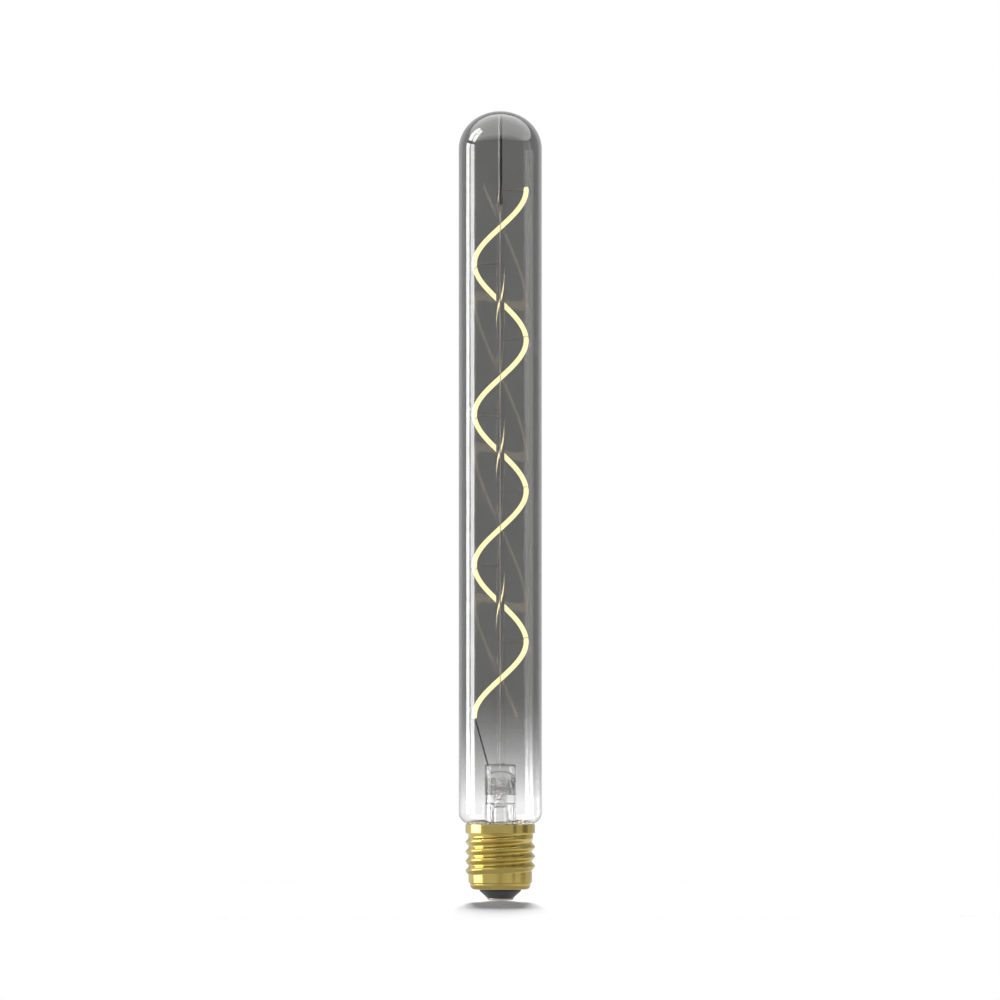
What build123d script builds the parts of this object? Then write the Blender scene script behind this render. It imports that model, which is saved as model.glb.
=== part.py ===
"""Tubular lamp: a helical LED filament in a long glass tube on an E27 screw cap.

Millimetres. +Z runs along the lamp's axis from the cap to the dome, and -Y is the front.
The origin is the centre of the contact's lower face.
"""

import os
from math import cos, hypot, pi, radians, sin

from build123d import *

# Glass envelope
overall_height = 300.0
tube_diameter = 31.6
glass_wall = 1.1
dome_flattening = 1.4
dome_bands = 5
dome_inside_bands = 3
shoulder_bands = 3
shoulder_inside_bands = 2
neck_depth = 8.7
neck_clearance = 0.45

# Screw cap
sheet = 0.3
shell_height = 24.85
collar_height = 3.2
thread_minor = 24.1
thread_depth = 1.15
thread_pitch = 3.629
thread_crest_width = 0.7
thread_root_width = 1.0
thread_sides = 18
thread_above_shell_bottom = 5.92
thread_below_collar = 2.3
thread_run_out = 0.35
thread_start_angle = 60
ridge_root_depth = 0.15
shell_corner = 2.0
contact_diameter = 9.9
contact_thickness = 1.0
insulator_diameter = 15.8
insulator_drop = 3.33
insulator_grip = 0.3
insulator_plug_height = 1.8

# Cement ring between the neck and the collar
cement_thickness = 1.6
cement_below_rim = 1.0

# Glass stem with its exhaust tube and centre column
stem_diameter = 11.85
stem_wall = 1.0
stem_above_rim = 22.8
stem_bevel = 0.6
crown_thickness = 2.9
hollow_height = 5.6
hollow_side_wall = 1.4
hollow_bands = 2
ceiling_rise = 1.9
web_thickness = 6.2
exhaust_diameter = 6.1
exhaust_bore = 3.4
exhaust_tip_below_neck = 1.9
exhaust_end_wall = 1.6
column_diameter = 3.2
column_below_dome = 30.8
column_socket_depth = 3.4

# Filament, its leads and its hooks
filament_diameter = 2.1
filament_sides = 5
helix_diameter = 19.66
helix_turns = 3.5
filament_below_dome = 28.5
filament_above_stem = 18.3
hooks_per_turn = 4
hook_wire = 0.3
hook_clearance = 0.2
anchor_wire_diameter = 1.63
anchor_tip_clearance = 0.3
wire_sides = 6
lead_diameter = 0.6
return_lead_diameter = 0.4
lead_bend_below_ceiling = 0.5
upper_lead_diameter = 0.5
upper_lead_drop = 0.3

# Driver
board_width = 17.0
board_thickness = 1.0
board_corner = 4.0
board_above_insulator = 2.6
capacitor_length = 5.7
capacitor_width = 5.0
capacitor_height = 2.5
capacitor_clearance = 0.3
bridge_length = 4.7
bridge_width = 3.9
bridge_height = 2.5
bridge_offset = 5.2
bridge_legs = 2
bridge_leg_pitch = 2.5
chip_length = 4.9
chip_width = 3.9
chip_height = 1.6
chip_offset = 4.2
chip_legs = 3
chip_leg_pitch = 1.27
package_leg_length = 1.0
package_leg_width = 0.42
package_leg_thickness = 0.25
resistor_length = 3.2
resistor_width = 1.6
resistor_height = 0.6
sense_resistor_offset = 4.6
fusible_resistor_offset = 4.6
wire_diameter = 0.6
shell_wire_offset = 6.4

# Heights along the axis
shell_bottom = contact_thickness + insulator_drop
rim = shell_bottom + shell_height
collar_foot = rim - collar_height
neck_foot = rim - neck_depth
dome_inside = overall_height - glass_wall
stem_top = rim + stem_above_rim
ceiling = stem_top - crown_thickness
hollow_floor = ceiling - hollow_height
web_bottom = hollow_floor - web_thickness
exhaust_tip = neck_foot - exhaust_tip_below_neck
column_top = dome_inside - column_below_dome
column_socket = column_top - column_socket_depth
filament_top = dome_inside - filament_below_dome
filament_bottom = stem_top + filament_above_stem
insulator_top = shell_bottom + insulator_plug_height
board_bottom = insulator_top + board_above_insulator
board_top = board_bottom + board_thickness
thread_low = shell_bottom + thread_above_shell_bottom
thread_high = collar_foot - thread_below_collar

# Radii
tube_radius = tube_diameter / 2
tube_inside = tube_radius - glass_wall
thread_radius = thread_minor / 2
shell_inside = thread_radius - sheet
neck_radius = shell_inside - neck_clearance
neck_inside = neck_radius - glass_wall
collar_inside = neck_radius + cement_thickness
collar_radius = collar_inside + sheet
insulator_radius = insulator_diameter / 2
insulator_grip_radius = insulator_radius - insulator_grip
contact_radius = contact_diameter / 2
stem_radius = stem_diameter / 2
stem_inside = stem_radius - stem_wall
hollow_radius = stem_radius - hollow_side_wall
exhaust_radius = exhaust_diameter / 2
column_radius = column_diameter / 2
helix_radius = helix_diameter / 2
filament_radius = filament_diameter / 2
lead_offset = (stem_inside + exhaust_radius) / 2

# Curves of the glass
dome_height = tube_radius - dome_flattening
dome_inside_height = dome_height - glass_wall
dome_centre = (0, overall_height - dome_height)
shoulder_radius = tube_radius - neck_radius
shoulder_inside_height = shoulder_radius - glass_wall
shoulder_centre = (neck_radius, rim + shoulder_radius)
shoulder_inside_centre = (neck_inside, rim + shoulder_radius)
flare_top = neck_foot + neck_inside - stem_inside

# Thread, filament and hooks
ridge_width = thread_pitch - thread_root_width
ridge_root_width = ridge_width + (ridge_width - thread_crest_width) * ridge_root_depth / thread_depth
thread_steps = int((thread_high - thread_low) / thread_pitch * thread_sides)
filament_rise = filament_top - filament_bottom
helix_pitch = filament_rise / helix_turns
filament_start_angle = -360 * helix_turns
filament_slant = hypot(1, helix_pitch / (2 * pi * helix_radius))
hook_corner_angles = (150, 90, 30, -30, -90)
hook_half_step = radians(30)

os.makedirs("parts", exist_ok=True)


def finish(piece, name):
    """Labels a finished piece and writes it to its own file."""
    piece.part.label = name
    export_step(piece.part, f"parts/{name}.step")


def round_bands(centre, across, up, start, end, bands):
    """Points of a round stretch of an outline, as a few straight bands between two angles."""
    angles = [radians(start + (end - start) * band / bands) for band in range(bands + 1)]
    return [(centre[0] + across * cos(angle), centre[1] + up * sin(angle)) for angle in angles]


def bent_wire(points, diameter):
    """A thin wire along straight runs, mitred where it bends."""
    with BuildPart() as wire:
        with BuildLine() as route:
            Polyline(*points)
        with BuildSketch(Plane(origin=route.line @ 0, z_dir=route.line % 0)):
            RegularPolygon(diameter / 2, wire_sides)
        sweep(path=route.line, transition=Transition.RIGHT)
    return wire


# Glass envelope: dome, tube, shoulder and neck of one blown wall
with BuildPart() as glass_envelope:
    with BuildSketch(Plane.XZ):
        with BuildLine():
            Polyline(
                *round_bands(shoulder_centre, shoulder_radius, shoulder_radius, 270, 360, shoulder_bands),
                *round_bands(dome_centre, tube_radius, dome_height, 0, 90, dome_bands),
                *round_bands(dome_centre, tube_inside, dome_inside_height, 90, 0, dome_inside_bands),
                *round_bands(
                    shoulder_inside_centre,
                    shoulder_radius,
                    shoulder_inside_height,
                    360,
                    270,
                    shoulder_inside_bands,
                ),
                (neck_inside, neck_foot),
                (neck_radius, neck_foot),
                close=True,
            )
        make_face()
    revolve(axis=Axis.Z)
finish(glass_envelope, "glass_envelope")

# Thread ridge: straight flanks on a right-hand helix, rising from the wall and sinking back into it
with BuildPart() as thread_ridge:
    for step in range(thread_steps + 1):
        turn = step / thread_sides
        turn_angle = radians(thread_start_angle) + 2 * pi * turn
        run_out = max(0, 1 - turn / thread_run_out, 1 - (thread_steps / thread_sides - turn) / thread_run_out)
        ridge_foot = thread_radius - ridge_root_depth - thread_depth * run_out
        ridge_crest = ridge_foot + ridge_root_depth + thread_depth
        section = Plane(
            origin=(0, 0, thread_low + thread_pitch * turn),
            x_dir=(cos(turn_angle), sin(turn_angle), 0),
            z_dir=(-sin(turn_angle), cos(turn_angle), 0),
        )
        with BuildSketch(section):
            with BuildLine():
                Polyline(
                    (ridge_foot, -ridge_root_width / 2),
                    (ridge_crest, -thread_crest_width / 2),
                    (ridge_crest, thread_crest_width / 2),
                    (ridge_foot, ridge_root_width / 2),
                    close=True,
                )
            make_face()
    loft(ruled=True)

# Hollow of the screw shell, one sheet inside its wall and its bottom
with BuildPart() as shell_hollow:
    with BuildSketch(Plane.XY.offset(shell_bottom + sheet)):
        RegularPolygon(shell_inside, thread_sides, rotation=thread_start_angle)
    extrude(amount=shell_height)
    chamfer(shell_hollow.faces().sort_by(Axis.Z)[0].edges(), shell_corner)

# Screw shell: collar, rolled thread and turned-in bottom of thin brass
with BuildPart() as screw_shell:
    with BuildSketch(Plane.XY.offset(shell_bottom)):
        RegularPolygon(thread_radius, thread_sides, rotation=thread_start_angle)
    extrude(amount=collar_foot - shell_bottom)
    chamfer(screw_shell.faces().sort_by(Axis.Z)[0].edges(), shell_corner)
    add(thread_ridge.part)
    with BuildSketch(Plane.XY.offset(collar_foot)):
        Circle(collar_radius)
    extrude(amount=collar_height)
    add(shell_hollow.part, mode=Mode.SUBTRACT)
    with BuildSketch(Plane.XY.offset(collar_foot + sheet)):
        Circle(collar_inside)
    extrude(amount=collar_height - sheet, mode=Mode.SUBTRACT)
    with BuildSketch(Plane.XY.offset(shell_bottom)):
        Circle(insulator_grip_radius)
    extrude(amount=sheet, mode=Mode.SUBTRACT)
finish(screw_shell, "screw_shell")

# Wire from the driver board through the insulator to the centre contact
contact_wire = bent_wire([(0, 0, board_bottom), (0, 0, contact_thickness)], wire_diameter)
finish(contact_wire, "contact_wire")

# Insulator: a cone below the shell's bottom and a plug through it
with BuildPart() as insulator:
    with BuildSketch(Plane.XZ):
        with BuildLine():
            Polyline(
                (0, contact_thickness),
                (contact_radius, contact_thickness),
                (insulator_radius, shell_bottom),
                (insulator_grip_radius, shell_bottom),
                (insulator_grip_radius, insulator_top),
                (0, insulator_top),
                close=True,
            )
        make_face()
    revolve(axis=Axis.Z)
    add(contact_wire.part, mode=Mode.SUBTRACT)
finish(insulator, "insulator")

# Centre contact: the disc at the very bottom
with BuildPart() as centre_contact:
    with BuildSketch(Plane.XY):
        Circle(contact_radius)
    extrude(amount=contact_thickness)
finish(centre_contact, "centre_contact")

# Capping cement: the ring that holds the collar to the glass neck
with BuildPart() as capping_cement:
    with BuildSketch(Plane.XY.offset(collar_foot + sheet)):
        Circle(collar_inside)
        Circle(neck_radius, mode=Mode.SUBTRACT)
    extrude(amount=collar_height - sheet - cement_below_rim)
finish(capping_cement, "capping_cement")

# Filament: a soft cord on an open right-hand helix
with BuildLine() as filament_line:
    Helix(helix_pitch, filament_rise, helix_radius, center=(0, 0, filament_bottom))
filament_path = filament_line.line.rotate(Axis.Z, filament_start_angle)
with BuildPart() as led_filament:
    with BuildSketch(Plane(origin=filament_path @ 0, z_dir=filament_path % 0)):
        RegularPolygon(filament_radius, filament_sides)
    sweep(path=filament_path, is_frenet=True)
finish(led_filament, "led_filament")

# Anchor wire: stands in the column's socket and steadies the column against the dome
top_anchor_wire = bent_wire(
    [(0, 0, column_socket), (0, 0, dome_inside - anchor_tip_clearance)], anchor_wire_diameter
)
finish(top_anchor_wire, "top_anchor_wire")

# Upper lead: from the anchor wire to the filament's top end
upper_lead_height = filament_top - upper_lead_drop
upper_lead = bent_wire(
    [(0, 0, upper_lead_height), (helix_radius, 0, upper_lead_height)], upper_lead_diameter
)
with upper_lead:
    add(top_anchor_wire.part, mode=Mode.SUBTRACT)
    add(led_filament.part, mode=Mode.SUBTRACT)
finish(upper_lead, "upper_lead")

# Lower lead: from the filament's bottom end, through the stem, to the driver board
lower_lead = bent_wire(
    [
        (-helix_radius, 0, filament_bottom),
        (-lead_offset, 0, ceiling - lead_bend_below_ceiling),
        (-lead_offset, 0, board_top),
    ],
    lead_diameter,
)
with lower_lead:
    add(led_filament.part, mode=Mode.SUBTRACT)
finish(lower_lead, "lower_lead")

# Return lead: from the anchor wire, down inside the column and the stem, to the driver board
return_lead = bent_wire(
    [
        (0, 0, column_socket),
        (0, 0, ceiling - lead_bend_below_ceiling),
        (lead_offset, 0, hollow_floor),
        (lead_offset, 0, board_top),
    ],
    return_lead_diameter,
)
finish(return_lead, "return_lead")

# Glass stem: flare, stem tube, exhaust tube and centre column, melted into one piece
with BuildPart() as glass_stem:
    with BuildSketch(Plane.XZ):
        with BuildLine():
            Polyline(
                (0, exhaust_tip),
                (0, column_top),
                (column_radius, column_top),
                (column_radius, stem_top),
                (stem_radius - stem_bevel, stem_top),
                (stem_radius, stem_top - stem_bevel),
                (stem_radius, flare_top),
                (neck_inside, neck_foot + stem_wall),
                (neck_inside, neck_foot),
                (stem_inside, flare_top - stem_wall),
                (stem_inside, web_bottom),
                (exhaust_radius, web_bottom),
                (exhaust_radius, exhaust_tip),
                close=True,
            )
        make_face()
    revolve(axis=Axis.Z)
    with BuildSketch(Plane.XZ):
        with BuildLine():
            Polyline(
                (0, hollow_floor),
                (hollow_radius, hollow_floor),
                *round_bands((0, ceiling - ceiling_rise), hollow_radius, ceiling_rise, 0, 90, hollow_bands),
                close=True,
            )
        make_face()
    revolve(axis=Axis.Z, mode=Mode.SUBTRACT)
    with BuildSketch(Plane.XY.offset(exhaust_tip + exhaust_end_wall)):
        Circle(exhaust_bore / 2)
    extrude(amount=hollow_floor - exhaust_tip - exhaust_end_wall, mode=Mode.SUBTRACT)
    add(top_anchor_wire.part, mode=Mode.SUBTRACT)
    add(lower_lead.part, mode=Mode.SUBTRACT)
    add(return_lead.part, mode=Mode.SUBTRACT)
finish(glass_stem, "glass_stem")


def support_hook(number):
    """A flat-bent wire hook in the plane through the axis, from the column round the filament."""
    turn = -2 * pi * number / hooks_per_turn
    height = filament_top - helix_pitch * number / hooks_per_turn
    plane = Plane(
        origin=(0, 0, height), x_dir=(cos(turn), sin(turn), 0), z_dir=(sin(turn), -cos(turn), 0)
    )

    def ring(growth):
        """Corners of the hook's bend, from the arm over the top to the open end."""
        wide = (filament_radius + hook_clearance + growth) / cos(hook_half_step)
        tall = (filament_radius * filament_slant + hook_clearance + growth) / cos(hook_half_step)
        return [
            (helix_radius + wide * cos(radians(angle)), tall * sin(radians(angle)))
            for angle in hook_corner_angles
        ]

    half = hook_wire / 2
    inner = ring(0)
    outer = ring(hook_wire)
    with BuildPart() as hook:
        with BuildSketch(plane):
            with BuildLine():
                Polyline(
                    (column_radius, -half),
                    (column_radius, half),
                    (outer[0][0], half),
                    *outer,
                    *reversed(inner),
                    (inner[0][0], -half),
                    close=True,
                )
            make_face()
        extrude(amount=half, both=True)
    return hook


for number in range(1, int(helix_turns * hooks_per_turn)):
    finish(support_hook(number), f"support_hook_{number:02d}")

# Driver board: a small square plate with cut corners, carried by the two leads
with BuildPart() as driver_board:
    with BuildSketch(Plane.XY.offset(board_bottom)):
        Rectangle(board_width, board_width)
        chamfer(vertices(), board_corner)
    extrude(amount=board_thickness)
finish(driver_board, "driver_board")

# Smoothing capacitor: a ceramic block on the board, beside the exhaust tube
with BuildPart() as smoothing_capacitor:
    with BuildSketch(Plane.XY.offset(board_top)):
        with Locations((0, exhaust_radius + capacitor_clearance + capacitor_width / 2)):
            Rectangle(capacitor_length, capacitor_width)
    extrude(amount=capacitor_height)
finish(smoothing_capacitor, "smoothing_capacitor")


def flat_package(length, width, height, leg_count, leg_pitch, plane):
    """A moulded chip body with flat legs along its two long sides."""
    with BuildPart() as package:
        with BuildSketch(plane):
            Rectangle(length, width)
        extrude(amount=height)
        with BuildSketch(plane):
            with GridLocations(leg_pitch, 0, leg_count, 1):
                Rectangle(package_leg_width, width + 2 * package_leg_length)
        extrude(amount=package_leg_thickness)
    return package


def ceramic_brick(place):
    """A small flat resistor under the board."""
    with BuildPart() as brick:
        with BuildSketch(underside):
            with Locations(place):
                Rectangle(resistor_width, resistor_length)
        extrude(amount=resistor_height)
    return brick


bridge_plane = Plane(origin=(0, -bridge_offset, board_top))
bridge_rectifier = flat_package(
    bridge_length, bridge_width, bridge_height, bridge_legs, bridge_leg_pitch, bridge_plane
)
finish(bridge_rectifier, "bridge_rectifier")

underside = Plane(origin=(0, 0, board_bottom), x_dir=(1, 0, 0), z_dir=(0, 0, -1))
chip_plane = Plane(origin=(0, chip_offset, board_bottom), x_dir=(1, 0, 0), z_dir=(0, 0, -1))
driver_chip = flat_package(chip_length, chip_width, chip_height, chip_legs, chip_leg_pitch, chip_plane)
finish(driver_chip, "driver_chip")

sense_resistor = ceramic_brick((-sense_resistor_offset, 0))
finish(sense_resistor, "sense_resistor")

fusible_resistor = ceramic_brick((0, fusible_resistor_offset))
finish(fusible_resistor, "fusible_resistor")

# Shell wire: from the board's edge to the inside of the shell
shell_wire_height = (board_bottom + insulator_top) / 2
shell_wire = bent_wire(
    [
        (shell_wire_offset, 0, board_bottom),
        (shell_wire_offset, 0, shell_wire_height),
        (shell_inside, 0, shell_wire_height),
    ],
    wire_diameter,
)
with shell_wire:
    add(screw_shell.part, mode=Mode.SUBTRACT)
finish(shell_wire, "shell_wire")
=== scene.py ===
"""Looks of a tubular filament lamp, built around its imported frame.

Sizes are in millimetres and become metres as meshes are made. +Z runs up the lamp's axis, -Y is the front.
"""

import logging
import math
from dataclasses import dataclass, field, replace
from enum import Enum
from typing import Callable, ClassVar, Optional, Sequence, Union

import bpy
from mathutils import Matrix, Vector


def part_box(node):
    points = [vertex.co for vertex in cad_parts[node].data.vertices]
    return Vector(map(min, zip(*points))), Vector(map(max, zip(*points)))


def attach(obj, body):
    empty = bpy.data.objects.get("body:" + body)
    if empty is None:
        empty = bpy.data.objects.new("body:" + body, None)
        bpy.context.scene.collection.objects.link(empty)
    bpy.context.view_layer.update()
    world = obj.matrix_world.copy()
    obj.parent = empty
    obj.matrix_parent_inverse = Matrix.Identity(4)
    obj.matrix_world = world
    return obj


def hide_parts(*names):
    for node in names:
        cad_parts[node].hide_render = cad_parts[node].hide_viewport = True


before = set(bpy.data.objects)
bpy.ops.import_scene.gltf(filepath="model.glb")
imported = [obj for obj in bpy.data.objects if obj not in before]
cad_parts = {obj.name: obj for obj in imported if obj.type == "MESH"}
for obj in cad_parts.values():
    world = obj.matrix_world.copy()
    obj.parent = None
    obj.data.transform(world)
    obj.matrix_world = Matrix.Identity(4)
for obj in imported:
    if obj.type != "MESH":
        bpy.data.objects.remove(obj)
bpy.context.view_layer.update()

Point = tuple[float, float]
Colour = tuple[float, float, float]
Socket = bpy.types.NodeSocket
Value = Union[Socket, float]
Place = tuple[Socket, Socket, Socket]
Relief = Callable[[float, float, float], float]

LOG = logging.getLogger("tubular_lamp")
MM = 0.001
ROOT_BODY = "root"
NUMBER_SOCKET = "NodeSocketFloat"
UP = Vector((0.0, 0.0, 1.0))
ON_AXIS = 1e-6
ROUND_END_ANGLES = (15, 35, 55, 75)
WIRE_SHARP = 60.0
WHITE: Colour = (1.0, 1.0, 1.0)
NO_BOUNCE = 0.5


class Slot(Enum):
    """Material slots of the record that the pieces take their finish from."""

    SMOKED_GLASS = "smoked_glass"
    CLEAR_GLASS = "clear_glass"
    FILAMENT_GLOW = "filament_glow"
    CAP_BRASS = "cap_brass"
    BLACK_INSULATOR = "black_insulator"
    CONTACT_METAL = "contact_metal"
    LEAD_WIRE = "lead_wire"
    CAP_CEMENT = "cap_cement"
    BOARD_LAMINATE = "board_laminate"
    CHIP_PLASTIC = "chip_plastic"
    PART_CERAMIC = "part_ceramic"


class Gloss(Enum):
    """Groups of pieces that show lights of their own in their gloss."""

    GLASSWARE = "glassware"
    CAP = "cap"
    WIRES = "wires"


class LampShape(Enum):
    """Outlines of an area light."""

    PANEL = "RECTANGLE"
    OVAL = "ELLIPSE"


class WireEnd(Enum):
    """How the ends of a swept wire are closed."""

    FLAT = "flat"
    ROUND = "round"


@dataclass(frozen=True)
class NodeSpan:
    """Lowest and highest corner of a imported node, in millimetres."""

    low: Vector
    high: Vector

    @classmethod
    def of(cls, node: str) -> "NodeSpan":
        """Reads a node's box from the frame."""
        low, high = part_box(node)
        return cls(low / MM, high / MM)

    @property
    def radius(self) -> float:
        """The node's lesser reach from the axis along X."""
        return min(-self.low.x, self.high.x)


class NodeSheet:
    """Adds and links the nodes of one node tree."""

    def __init__(self, tree: bpy.types.NodeTree) -> None:
        """Keeps the tree and starts it empty."""
        self.tree = tree
        self.tree.nodes.clear()

    def add(self, kind: str, **settings: object) -> bpy.types.Node:
        """Adds a node.

        Args:
            kind: Blender's name of the node type.
            settings: properties to set on it.

        Returns:
            The new node.
        """
        node = self.tree.nodes.new(kind)
        for name, value in settings.items():
            setattr(node, name, value)
        return node

    def feed(self, target: Socket, value: object) -> None:
        """Links a socket into the target, or sets a constant on it.

        Args:
            target: the input socket.
            value: a socket, a number or a colour.
        """
        if isinstance(value, bpy.types.NodeSocket):
            self.tree.links.new(value, target)
        elif isinstance(value, tuple) and len(value) == 3 and len(target.default_value) == 4:
            target.default_value = (*value, 1.0)
        else:
            target.default_value = value

    def sum(self, operation: str, *values: Value, clamp: bool = False) -> Socket:
        """Adds a Math node.

        Args:
            operation: Blender's name of the operation.
            values: sockets or numbers, one for each input.
            clamp: whether the result is kept from 0 to 1.

        Returns:
            The result's socket.
        """
        node = self.add("ShaderNodeMath", operation=operation, use_clamp=clamp)
        for target, value in zip(node.inputs, values):
            self.feed(target, value)
        return node.outputs[0]

    def ramp(self, value: Socket, low: float, high: float, start: float = 0.0, end: float = 1.0) -> Socket:
        """Maps a value smoothly from one range to another.

        Args:
            value: the socket to map.
            low: input value that gives start.
            high: input value that gives end.
            start: output at low.
            end: output at high.

        Returns:
            The mapped value's socket.
        """
        node = self.add("ShaderNodeMapRange", interpolation_type="SMOOTHSTEP")
        for target, number in zip(node.inputs, (value, low, high, start, end)):
            self.feed(target, number)
        return node.outputs["Result"]

    def band(self, value: Socket, low: float, high: float, soft: float) -> Socket:
        """Marks the stretch of a value between two limits.

        Args:
            value: the socket to test.
            low: lower limit.
            high: upper limit.
            soft: half width of the change at each limit.

        Returns:
            A socket that is 1 between the limits and 0 outside.
        """
        rise = self.ramp(value, low - soft, low + soft)
        return self.sum("MULTIPLY", rise, self.ramp(value, high - soft, high + soft, 1.0, 0.0))

    def blend(self, share: Value, first: object, second: object) -> Socket:
        """Mixes two colours.

        Args:
            share: how much of the second colour.
            first: colour at share 0.
            second: colour at share 1.

        Returns:
            The mixed colour's socket.
        """
        node = self.add("ShaderNodeMix", data_type="RGBA")
        colours = [socket for socket in node.inputs if socket.type == "RGBA"]
        for target, value in zip((node.inputs["Factor"], *colours), (share, first, second)):
            self.feed(target, value)
        return next(socket for socket in node.outputs if socket.type == "RGBA")

    def switch(self, share: Socket, first: Socket, second: Socket) -> Socket:
        """Mixes two shaders.

        Args:
            share: how much of the second shader.
            first: shader at share 0.
            second: shader at share 1.

        Returns:
            The mixed shader's socket.
        """
        node = self.add("ShaderNodeMixShader")
        for target, value in zip(node.inputs, (share, first, second)):
            self.feed(target, value)
        return node.outputs["Shader"]

    def coordinates(self, kind: str = "Object") -> Place:
        """Reads the place or direction that is shaded.

        Args:
            kind: Blender's name of the coordinates.

        Returns:
            The sockets of X, Y and Z.
        """
        place = self.add("ShaderNodeTexCoord")
        parts = self.add("ShaderNodeSeparateXYZ")
        self.feed(parts.inputs[0], place.outputs[kind])
        return parts.outputs["X"], parts.outputs["Y"], parts.outputs["Z"]


def new_group(
    name: str, inputs: dict[str, float], outputs: Sequence[str]
) -> tuple[NodeSheet, bpy.types.Node, bpy.types.Node]:
    """Starts a shader node group with named number sockets.

    Args:
        name: the group's name.
        inputs: default of each input socket.
        outputs: names of the output sockets.

    Returns:
        The group's sheet, its input node and its output node.
    """
    tree = bpy.data.node_groups.new(name, "ShaderNodeTree")
    for label, default in inputs.items():
        tree.interface.new_socket(label, in_out="INPUT", socket_type=NUMBER_SOCKET).default_value = default
    for label in outputs:
        tree.interface.new_socket(label, in_out="OUTPUT", socket_type=NUMBER_SOCKET)
    sheet = NodeSheet(tree)
    return sheet, sheet.add("NodeGroupInput"), sheet.add("NodeGroupOutput")


def turned_marks_group() -> bpy.types.NodeTree:
    """Builds the fine rings that turning and rolling leave round the axis.

    Returns:
        A group with the rings' height and a mask of their worn stretches.
    """
    scale, detail = 2.2, 4.0
    worn_from, worn_to = 0.42, 0.72
    sheet, given, put = new_group("turned_marks", {"Rings": 900.0, "Breaks": 3.0}, ("Height", "Mask"))
    across, along, up = sheet.coordinates()
    angle = sheet.sum("ARCTAN2", along, across)
    spread = sheet.add("ShaderNodeCombineXYZ")
    for axis, value, factor in (
        ("X", sheet.sum("COSINE", angle), "Breaks"),
        ("Y", sheet.sum("SINE", angle), "Breaks"),
        ("Z", up, "Rings"),
    ):
        sheet.feed(spread.inputs[axis], sheet.sum("MULTIPLY", value, given.outputs[factor]))
    fine = sheet.add("ShaderNodeTexNoise")
    sheet.feed(fine.inputs["Vector"], spread.outputs[0])
    sheet.feed(fine.inputs["Scale"], scale)
    sheet.feed(fine.inputs["Detail"], detail)
    sheet.feed(put.inputs["Height"], fine.outputs["Fac"])
    sheet.feed(put.inputs["Mask"], sheet.ramp(fine.outputs["Fac"], worn_from, worn_to))
    return sheet.tree


def blotches_group() -> bpy.types.NodeTree:
    """Builds soft blotches with fine speckle, for tarnish, oxide and moulding flow.

    Returns:
        A group with a broad mask and a speckle mask.
    """
    detail = 3.0
    masks = (("Mask", "Scale", 0.35, 0.7), ("Grain", "Speckle", 0.3, 0.75))
    sheet, given, put = new_group("blotches", {"Scale": 120.0, "Speckle": 2500.0}, ("Mask", "Grain"))
    place = sheet.add("ShaderNodeTexCoord")
    for label, scale, low, high in masks:
        noise = sheet.add("ShaderNodeTexNoise")
        sheet.feed(noise.inputs["Vector"], place.outputs["Object"])
        sheet.feed(noise.inputs["Scale"], given.outputs[scale])
        sheet.feed(noise.inputs["Detail"], detail)
        sheet.feed(put.inputs[label], sheet.ramp(noise.outputs["Fac"], low, high))
    return sheet.tree


TURNED_MARKS = turned_marks_group()
BLOTCHES = blotches_group()


def new_material(name: str) -> tuple[bpy.types.Material, NodeSheet, bpy.types.Node, bpy.types.Node]:
    """Starts a material.

    Args:
        name: the material's name.

    Returns:
        The material, its sheet, its Principled node and its output node.
    """
    material = bpy.data.materials.new(name)
    material.use_nodes = True
    sheet = NodeSheet(material.node_tree)
    surface = sheet.add("ShaderNodeBsdfPrincipled")
    output = sheet.add("ShaderNodeOutputMaterial")
    sheet.feed(output.inputs["Surface"], surface.outputs["BSDF"])
    return material, sheet, surface, output


def place_group(sheet: NodeSheet, tree: bpy.types.NodeTree, **values: float) -> bpy.types.Node:
    """Places a node group in a material with its own values.

    Args:
        sheet: the material's sheet.
        tree: the group.
        values: value of each named input.

    Returns:
        The group's node.
    """
    node = sheet.add("ShaderNodeGroup", node_tree=tree)
    for label, value in values.items():
        sheet.feed(node.inputs[label], value)
    return node


def add_bump(
    sheet: NodeSheet, surface: bpy.types.Node, height: Socket, strength: float, depth: float
) -> None:
    """Feeds a height into a shader's normal.

    Args:
        sheet: the material's sheet.
        surface: its Principled node.
        height: the height's socket.
        strength: share of the bump.
        depth: the bump's depth in millimetres.
    """
    bump = sheet.add("ShaderNodeBump")
    sheet.feed(bump.inputs["Strength"], strength)
    sheet.feed(bump.inputs["Distance"], depth * MM)
    sheet.feed(bump.inputs["Height"], height)
    sheet.feed(surface.inputs["Normal"], bump.outputs["Normal"])


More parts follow.
